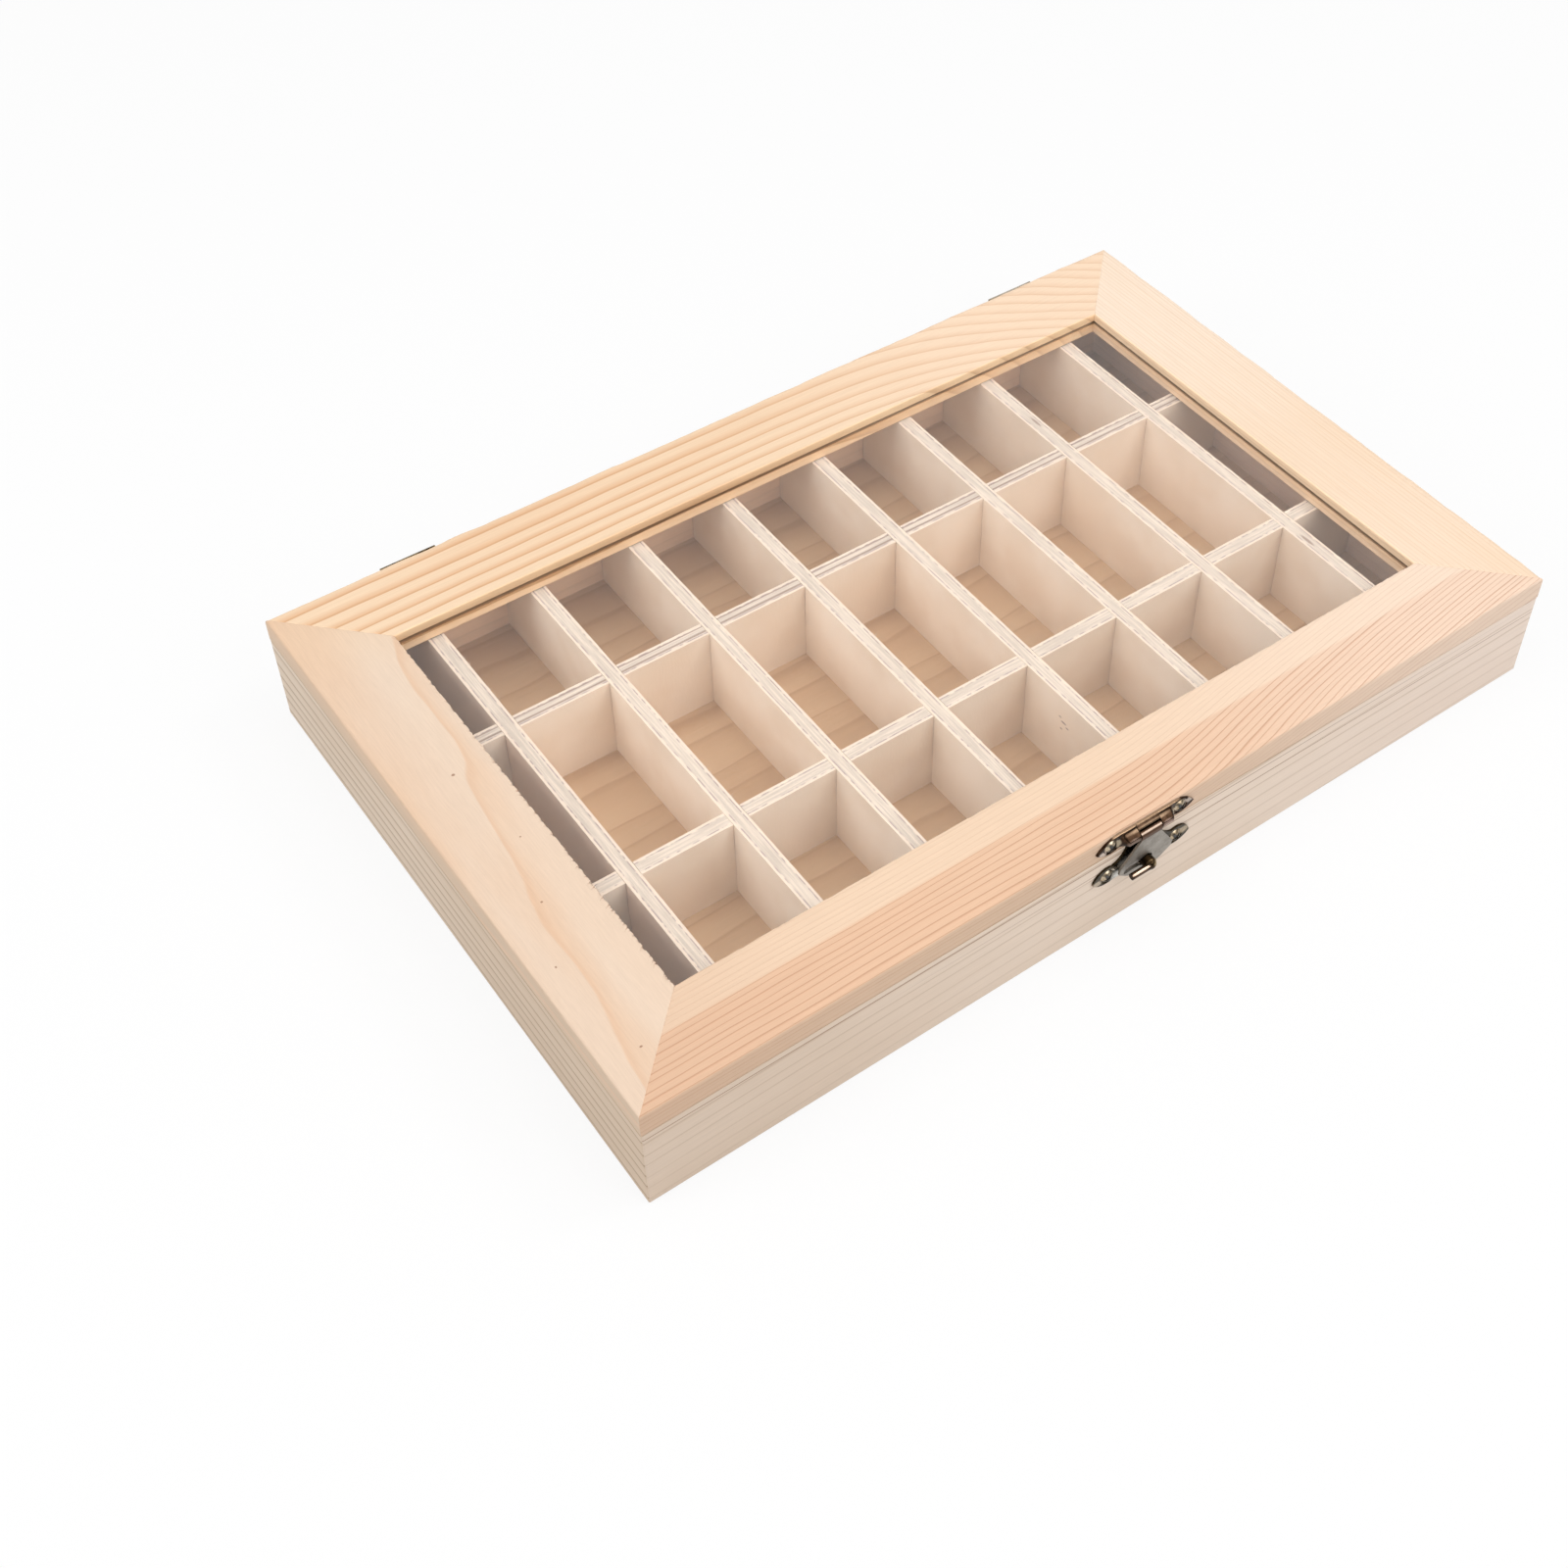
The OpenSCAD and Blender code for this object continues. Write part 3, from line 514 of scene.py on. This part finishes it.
def plywood(name, axis, first, pitch, marks=(), faces=("F8E8D6", "F0DCC6"),
            ends="F8E8D6"):
    """Three-ply strip. Across its thickness the distance from the strip's middle plane,
    |mod(u + pitch / 2, pitch) - pitch / 2|, tells the core from the face plies. The
    outermost faces, past |x| = 107 mm in the end cells, take the colour `ends`: a painted
    tint of the shade in those cells."""
    material, net, shader, out = principled(name, {"Roughness": 0.66,
                                                   "Specular IOR Level": 0.25})
    place = net.placed()
    parts = net.node("SeparateXYZ", None, {0: place}).outputs
    across = net.math("SUBTRACT", parts[axis], (first - pitch / 2) * MM)
    across = net.math("FLOORED_MODULO", across, pitch * MM)
    across = net.math("ABSOLUTE", net.math("SUBTRACT", across, pitch / 2 * MM))
    along = (60, 700, 260) if axis else (700, 60, 260)
    wave = net.math("SUBTRACT", net.noise(net.stretch(place, along), 1.0, 3.0), 0.5)
    across = net.math("ADD", across, net.math("MULTIPLY", wave, 0.3 * MM))
    core = net.remap(across, 1.5 * MM, 1.3 * MM)
    glue = net.math("MULTIPLY", net.remap(across, 1.15 * MM, 1.38 * MM),
                    net.remap(across, 1.65 * MM, 1.48 * MM))
    face = net.mix(net.remap(net.noise(place, 45, 3.0), 0.35, 0.7), linear(faces[0]),
                   linear(faces[1]))
    # faces in the end cells take the colour ends: a painted tint of the shade there
    outer = net.remap(net.math("ABSOLUTE", parts[0]), 106.8 * MM, 107.2 * MM)
    face = net.mix(outer, face, linear(ends))
    lines = net.noise(net.stretch(place, (60, 1900, 300) if axis else (1900, 60, 300)),
                      1.0, 3.0, 0.7)
    grey = net.mix(net.remap(lines, 0.35, 0.62), linear("D8C7B5"), linear("C0B0A0"))
    colour = net.mix(core, linear("DCC8B4"), grey)
    dashes = net.noise(net.stretch(place, (500, 500, 500)), 1.0, 2.0)
    glue = net.math("MULTIPLY", glue, net.remap(dashes, 0.38, 0.58))
    colour = net.mix(net.math("MULTIPLY", glue, 0.9), colour, linear("96807C"))
    top = net.remap(parts[2], (DIVIDER_TOP - 0.12) * MM, (DIVIDER_TOP - 0.05) * MM)
    colour = net.mix(top, face, colour)
    for at, size in marks:
        colour = net.mix(net.math("MULTIPLY", spot(net, place, at, size), 0.7), colour,
                         linear("7A5848"))
    net.tree.links.new(colour, shader.inputs["Base Color"])
    fuzz = net.noise(net.stretch(place, (1500, 1500, 400)), 1.0, 2.0)
    bump(net, shader, fuzz, 0.00008, 0.5)
    return material


short_ply = plywood("short_divider_ply", 0, FIRST_DIVIDER, CELL_PITCH, [
    ((12.8, -46.1, 19.3), (1.0, 1.3, 0.4)), ((12.8, -44.6, 20.4), (1.0, 0.7, 0.3)),
    ((12.8, -47.6, 18.4), (1.0, 0.8, 0.3)), ((12.8, -45.4, 16.6), (1.0, 0.6, 0.3)),
    ((104.8, -38.3, 27.3), (0.6, 3.4, 0.6)), ((75.5, 43.3, 27.3), (0.5, 3.0, 0.6))],
    # ends: the faces in the end cells, a painted tint of their shade
    ends="FAE2CF")
long_ply = plywood("long_divider_ply", 1, -LONG_DIVIDER_Y, 2 * LONG_DIVIDER_Y, [
    ((0, 27.7, 27.3), (320, 0.42, 0.6)), ((0, 29.5, 27.3), (320, 0.28, 0.6))],
    # the last colour is for the faces in the end cells: a painted tint of their shade
    ("F4E1CC", "ECD5BC"), "F4E1CC")


def clear_pane():
    """Clear acrylic sheet. Lamps shine through it, so shadow rays meet no surface."""
    material, net, shader, out = principled("clear_pane_acrylic", {
        "Base Color": (0.985, 0.99, 0.995, 1), "Roughness": 0.03, "IOR": 1.49,
        "Transmission Weight": 1.0})
    through = net.node("BsdfTransparent", None, {"Color": (0.96, 0.96, 0.965, 1)})
    rays = net.node("LightPath")
    either = net.node("MixShader", None, {
        0: rays.outputs["Is Shadow Ray"], 1: shader.outputs[0], 2: through.outputs[0]})
    net.tree.links.new(either.outputs[0], out.inputs["Surface"])
    scuffs = net.noise(net.placed(), 260, 4.0, 0.7)
    net.tree.links.new(net.remap(scuffs, 0.5, 0.8, 0.02, 0.09), shader.inputs["Roughness"])
    return material


def metal_with_painted_light(name, dark, light, rough, cloud=420, marks=(), zones=(), crosses=(),
                 lit_patch=None):
    """Aged plated metal. Noise mixes its dark and light finish. Zones (axis, from, to,
    colour) tint it past a plane and marks (centre, half-axes, colour) are lighter or
    darker patches, on the hasp painted highlights and painted shade. One more mark, given
    on its own, is a light matt patch: painted light where a gap lies in shade. Crosses
    are the centres of driver slots, dark with dirt and painted shade, each of two long
    ellipsoids at right angles, turned as the screws were left."""
    material, net, shader, out = principled(name, {"Metallic": 1.0})
    place = net.placed()
    parts = net.node("SeparateXYZ", None, {0: place}).outputs
    blotches = net.noise(place, cloud, 5.0, 0.6)
    colour = net.mix(net.remap(blotches, 0.35, 0.68), linear(dark), linear(light))
    for axis, start, end, tint in zones:
        mask = net.remap(parts[axis], start * MM, end * MM)
        colour = net.mix(mask, colour, linear(tint))
    # lighter or darker patches; on the hasp, painted highlights and painted shade
    for at, size, tint in marks:
        patch_mask = net.math("MULTIPLY", spot(net, place, at, size),
                          net.remap(blotches, 0.2, 0.5, 0.7, 1.0))
        colour = net.mix(patch_mask, colour, linear(tint))
    dirt_and_painted_light = 0.0
    # dark crosses over the driver slots and past them onto the heads: dirt and painted
    # shade, not metallic
    for at in crosses:
        turned = net.placed(at, (0, -SCREW_TURN, 0))
        for size in ((2.2, 1.8, 0.8), (0.8, 1.8, 2.2)):
            slot = spot(net, turned, (0, 0, 0), size)
            colour = net.mix(slot, colour, linear("1E160C"))
            dirt_and_painted_light = net.math("MAXIMUM", dirt_and_painted_light, slot)
    # a light matt patch: painted light where a gap lies in shade, not metallic
    if lit_patch:
        centre, size, tint = lit_patch
        lit_patch_mask = spot(net, place, centre, size)
        colour = net.mix(lit_patch_mask, colour, linear(tint))
        dirt_and_painted_light = net.math("MAXIMUM", dirt_and_painted_light, lit_patch_mask)
    if crosses or lit_patch:
        net.tree.links.new(net.math("SUBTRACT", 1.0, dirt_and_painted_light), shader.inputs["Metallic"])
    net.tree.links.new(colour, shader.inputs["Base Color"])
    grain = net.noise(place, cloud * 6, 2.0)
    net.tree.links.new(net.remap(grain, 0.3, 0.7, rough[0], rough[1]),
                       shader.inputs["Roughness"])
    bump(net, shader, net.noise(place, cloud * 3, 3.0), 0.00004, 0.4)
    return material


bronze = metal_with_painted_light("antique_bronze_hinge", "4A3A2A", "8F7B58", (0.22, 0.42), marks=[
    ((103, 90.5, 35), (20, 2, 1.2), "E2D6C6")])
# Upper plate: a painted highlight along the top edge, and painted highlights on the ridge,
# the wing tips, beside the screws and on the knuckles
upper_bronze = metal_with_painted_light("upper_plate_bronze", "2A1C12", "4C382A", (0.14, 0.28), zones=[
    (Z, 34.15, 34.4, "A5876C")], marks=[
    ((0.5, -91.0, 33.3), (9, 1.0, 0.8), "8A725C"),
    ((-12.7, -90.6, 30.5), (1.9, 1.5, 1.0), "C8B6A8"),
    ((-8.2, -90.6, 31.4), (0.9, 1.5, 1.7), "A39580"),
    ((14.0, -90.6, 32.2), (1.7, 1.5, 1.1), "B5A598"),
    ((9.2, -90.6, 31.2), (0.9, 1.5, 1.5), "BFB098"),
    ((-5.0, -92.6, 31.6), (2.4, 1.2, 1.2), "7E6A5E"),
    ((5.6, -92.6, 31.6), (2.4, 1.2, 1.2), "92796D")])
# Lower plate: a light matt patch behind the flap's slot, painted light where that gap lies
# in shade, and painted highlights on the wing tips and beside the screws
lower_bronze = metal_with_painted_light("lower_plate_bronze", "2A2418", "4C4230", (0.2, 0.34), lit_patch=(
    (-2.6, -90.6, 18.6), (8, 1.5, 3.2), "DCD8D0"), marks=[
    ((-13.4, -90.6, 19.6), (2.2, 1.5, 1.2), "B0A08C"),
    ((-8.3, -90.6, 21.9), (1.6, 1.5, 1.0), "B8AC9A"),
    ((13.6, -90.6, 21.0), (2.4, 1.5, 1.5), "A8977F"),
    ((9.0, -90.6, 19.4), (1.2, 1.5, 1.0), "A09078")])
# Hook: the arm's end face dark, painted shade; a painted highlight along the top of the
# arm and painted light on the right side of the dome
hook_bronze = metal_with_painted_light("hook_bronze", "2C2014", "4E3E2A", (0.12, 0.24), zones=[
    (X, -1.1, -1.5, "5C4636"), (X, -5.45, -5.75, "30221A")], marks=[
    ((-2.9, -94.66, 21.3), (4.2, 0.4, 0.45), "B8A08E"),
    ((1.35, -94.6, 21.2), (1.1, 1.2, 1.1), "8E7A58")])
# Flap: painted shade on the top of its knuckle and a painted highlight line along it
flap_steel = metal_with_painted_light("flap_metal_with_painted_light", "8E877E", "A69F96", (0.42, 0.55), 300,
                          zones=[(Z, 30.35, 30.6, "62493A")], marks=[
    ((0.5, -91.35, 32.3), (9, 1.0, 1.4), "2C2016"),
    ((0.5, -92.45, 32.5), (9, 0.34, 0.34), "C4AE9C")])
# Screws: dark crosses over the driver slots, dirt and painted shade
brass = metal_with_painted_light("screw_brass_worn", "A08C70", "D2C2AA", (0.2, 0.35), 700, crosses=[
    (HASP_X + side * PLATE_SCREW_X, -91.0, z) for side in (-1, 1)
    for z in (LOWER_SCREW_Z, FLAP_AXIS_Z)])
pane = clear_pane()


def dress(material, *names):
    """Puts a material in every slot of the named CAD pieces."""
    for name in names:
        for slot in NODES[name].material_slots:
            slot.material = material


lid_rail("lid_front_rail", HALF_LENGTH, HALF_DEPTH, 0, (126, 0.12, 3), 11,
         front_rail_pine)
lid_rail("lid_back_rail", HALF_LENGTH, HALF_DEPTH, math.pi, (126, 0.1, 3), 23,
         back_rail_pine)
lid_rail("lid_left_rail", HALF_DEPTH, HALF_LENGTH, -math.pi / 2, (220, 0.6, 0.95), 37,
         left_rail_pine, 0.3)
lid_rail("lid_right_rail", HALF_DEPTH, HALF_LENGTH, math.pi / 2, (81, 0.12, 2), 51,
         right_rail_pine)
dress(front_wall_pine, "front_wall")
dress(back_wall_pine, "back_wall")
dress(left_wall_pine, "left_wall")
dress(right_wall_pine, "right_wall")
dress(floor_pine, "bottom_panel")
dress(short_ply, *[f"short_divider_{i + 1}" for i in range(SHORT_DIVIDERS)])
dress(long_ply, "long_divider_1", "long_divider_2")
dress(pane, "window_pane")
dress(bronze, "left_hinge_box_leaf", "right_hinge_box_leaf", "left_hinge_lid_leaf",
      "right_hinge_lid_leaf", "left_hinge_pin", "right_hinge_pin", "flap_pin")
dress(lower_bronze, "latch_lower_plate")
dress(hook_bronze, "latch_hook")
dress(flap_steel, "latch_flap")
dress(brass, "hinge_box_screws", "hinge_lid_screws", "lower_plate_screws",
      "upper_plate_screws")
stamped_plate(upper_bronze)
divider_fibres(short_ply)


# Stage, lamps and camera

def paper_floor():
    """White floor that keeps the object's soft shadow. Camera, glossy and transmitted
    rays see it mostly as even white, and wholly so far from the object."""
    half, near, far, near_white = 4.0, 0.6, 3.0, 0.85
    mesh = bpy.data.meshes.new("studio_floor")
    mesh.from_pydata([(-half, -half, 0), (half, -half, 0), (half, half, 0),
                      (-half, half, 0)], [], [(0, 1, 2, 3)])
    floor = bpy.data.objects.new("studio_floor", mesh)
    bpy.context.scene.collection.objects.link(floor)
    material = bpy.data.materials.new("studio_paper")
    material.use_nodes = True
    tree = material.node_tree
    tree.nodes.clear()
    net = Net(tree)
    paper = net.node("BsdfDiffuse", None, {"Color": (0.8, 0.8, 0.8, 1)})
    glow = net.node("Emission", None, {"Color": (1, 1, 1, 1), "Strength": 1.0})
    rays = net.node("LightPath").outputs
    seen = net.math("MAXIMUM", rays["Is Camera Ray"],
                    net.math("MAXIMUM", rays["Is Glossy Ray"],
                             rays["Is Transmission Ray"]))
    out_from_middle = net.node("VectorMath", {"operation": "LENGTH"}, {
        0: net.placed()}).outputs["Value"]
    white = net.remap(out_from_middle, near, far, near_white, 1.0)
    either = net.node("MixShader", None, {
        0: net.math("MULTIPLY", seen, white), 1: paper.outputs[0], 2: glow.outputs[0]})
    net.node("OutputMaterial", None, {"Surface": either.outputs[0]})
    mesh.materials.append(material)


def surround():
    """Even white world, dimmer as light than as it is seen. In reflections it falls off
    with the direction's height to a dark horizon, which gives the metal its
    contrast."""
    light, horizon, low, high = 0.62, 0.12, 0.15, 0.6
    world = bpy.data.worlds.new("studio_surround")
    bpy.context.scene.world = world
    world.use_nodes = True
    tree = world.node_tree
    tree.nodes.clear()
    net = Net(tree)
    rays = net.node("LightPath").outputs
    seen = net.math("MAXIMUM", rays["Is Camera Ray"], rays["Is Transmission Ray"])
    even = net.remap(seen, 0, 1, light, 1.0, False)
    way = net.node("SeparateXYZ", None, {0: net.node("TexCoord").outputs["Generated"]})
    sky = net.remap(way.outputs[2], low, high, horizon, 1.0)
    mirrored = net.math("MULTIPLY", rays["Is Glossy Ray"],
                        net.math("SUBTRACT", sky, even))
    back = net.node("Background", None, {
        "Color": (1, 1, 1, 1), "Strength": net.math("ADD", even, mirrored)})
    net.node("OutputWorld", None, {"Surface": back.outputs[0]})


def softboxes():
    """Four soft square lamps that face the object's middle; the smallest, high on the
    right, throws the faint shadows in the cells."""
    for name, place, size, power in (
            ("overhead_softbox", (-0.1, -0.1, 1.2), 0.9, 4.0),
            ("right_softbox", (0.55, -0.3, 1.0), 0.28, 1.8),
            ("front_softbox", (0.3, -0.9, 0.75), 0.7, 2.9),
            ("left_softbox", (-0.95, 0.15, 0.7), 0.7, 3.6)):
        lamp = bpy.data.lights.new(name, "AREA")
        lamp.shape, lamp.size, lamp.energy = "SQUARE", size, power
        softbox = bpy.data.objects.new(name, lamp)
        bpy.context.scene.collection.objects.link(softbox)
        z = np.array(place) / np.linalg.norm(place)
        x = np.cross((0, 1, 0), z)
        x /= np.linalg.norm(x)
        axes = np.eye(4)
        axes[:3, :3] = np.stack([x, np.cross(z, x), z], axis=1)
        axes[:3, 3] = place
        softbox.matrix_world = Matrix(axes.tolist())


def camera():
    """Camera of the photograph, from the box's own corners: azimuth -38.2, elevation
    45.9, rolled by 2 degrees, with its optical axis off the picture's middle. Focal
    length and optical axis are in the photograph's pixels."""
    picture, focal, axis_x, axis_y, sensor = 1600, 2204.81, 933.8, 658.5, 36
    azimuth, elevation, roll = (math.radians(a) for a in (-38.2283, 45.9360, 1.9964))
    back = np.array([math.sin(azimuth) * math.cos(elevation),
                     -math.cos(azimuth) * math.cos(elevation), math.sin(elevation)])
    level = np.cross((0, 0, 1), back)
    level /= np.linalg.norm(level)
    up = np.cross(back, level)
    c, s = math.cos(roll), math.sin(roll)
    axes = np.eye(4)
    axes[:3, :3] = np.stack([c * level + s * up, c * up - s * level, back], axis=1)
    axes[:3, 3] = np.array([-246.8, -313.31, 429.59]) * MM
    data = bpy.data.cameras.new("photo_camera")
    data.sensor_width, data.lens = sensor, focal / picture * sensor
    data.shift_x = (picture / 2 - axis_x) / picture
    data.shift_y = (axis_y - picture / 2) / picture
    data.clip_start = 0.01
    view = bpy.data.objects.new("photo_camera", data)
    view.matrix_world = Matrix(axes.tolist())
    bpy.context.scene.collection.objects.link(view)
    bpy.context.scene.camera = view


paper_floor()
surround()
softboxes()
camera()
bpy.context.scene.view_settings.view_transform = "Standard"
